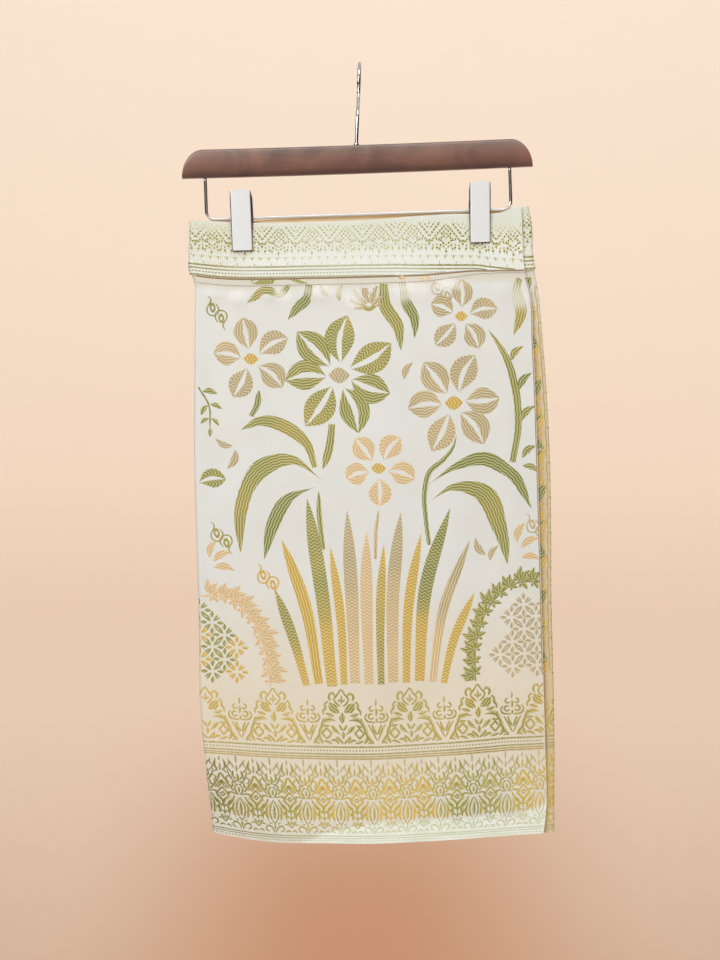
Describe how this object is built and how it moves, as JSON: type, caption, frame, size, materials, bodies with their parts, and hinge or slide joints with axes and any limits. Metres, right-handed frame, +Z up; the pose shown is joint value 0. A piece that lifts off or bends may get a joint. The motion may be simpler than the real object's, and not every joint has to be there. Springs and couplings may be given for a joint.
{
  "type": "sampin on a clip hanger",
  "caption": "Short brocade wrap sarong with a turned-down waistband and a banded hem, clipped flat below a wooden hanger with a wire hook.",
  "frame": {"origin": "the inner top of the hook, where a rail carries the part", "axes": "+Z up, +X to the viewer's right along the rail, +Y away from the viewer, so the front faces -Y"},
  "size_m": [0.382, 0.0466, 0.8011],
  "materials": {
    "cloth_field": "cream satin with woven green, gold, peach and tan figures",
    "cloth_border": "cream satin with a close woven border in green and gold",
    "bar_wood": "walnut with a glossy varnish",
    "wire_chrome": "polished wire",
    "clip_steel": "satin",
    "clip_pad": "matt dark brown"
  },
  "bodies": {
    "root": {"front_panel": "cloth_field", "back_panel": "cloth_field", "under_wrap": "cloth_field", "tuck_strip": "cloth_field", "waistband_front": "cloth_border", "waistband_back": "cloth_border", "hem_front": "cloth_border", "hem_back": "cloth_border", "hem_under": "cloth_border", "hanger_bar": "bar_wood", "hook": "wire_chrome", "wire_frame": "wire_chrome", "clip_left_front_plate": "clip_steel", "clip_left_back_plate": "clip_steel", "clip_left_front_pad": "clip_pad", "clip_left_back_pad": "clip_pad", "clip_left_spring": "wire_chrome", "clip_right_front_plate": "clip_steel", "clip_right_back_plate": "clip_steel", "clip_right_front_pad": "clip_pad", "clip_right_back_pad": "clip_pad", "clip_right_spring": "wire_chrome"}
  },
  "joints": []
}
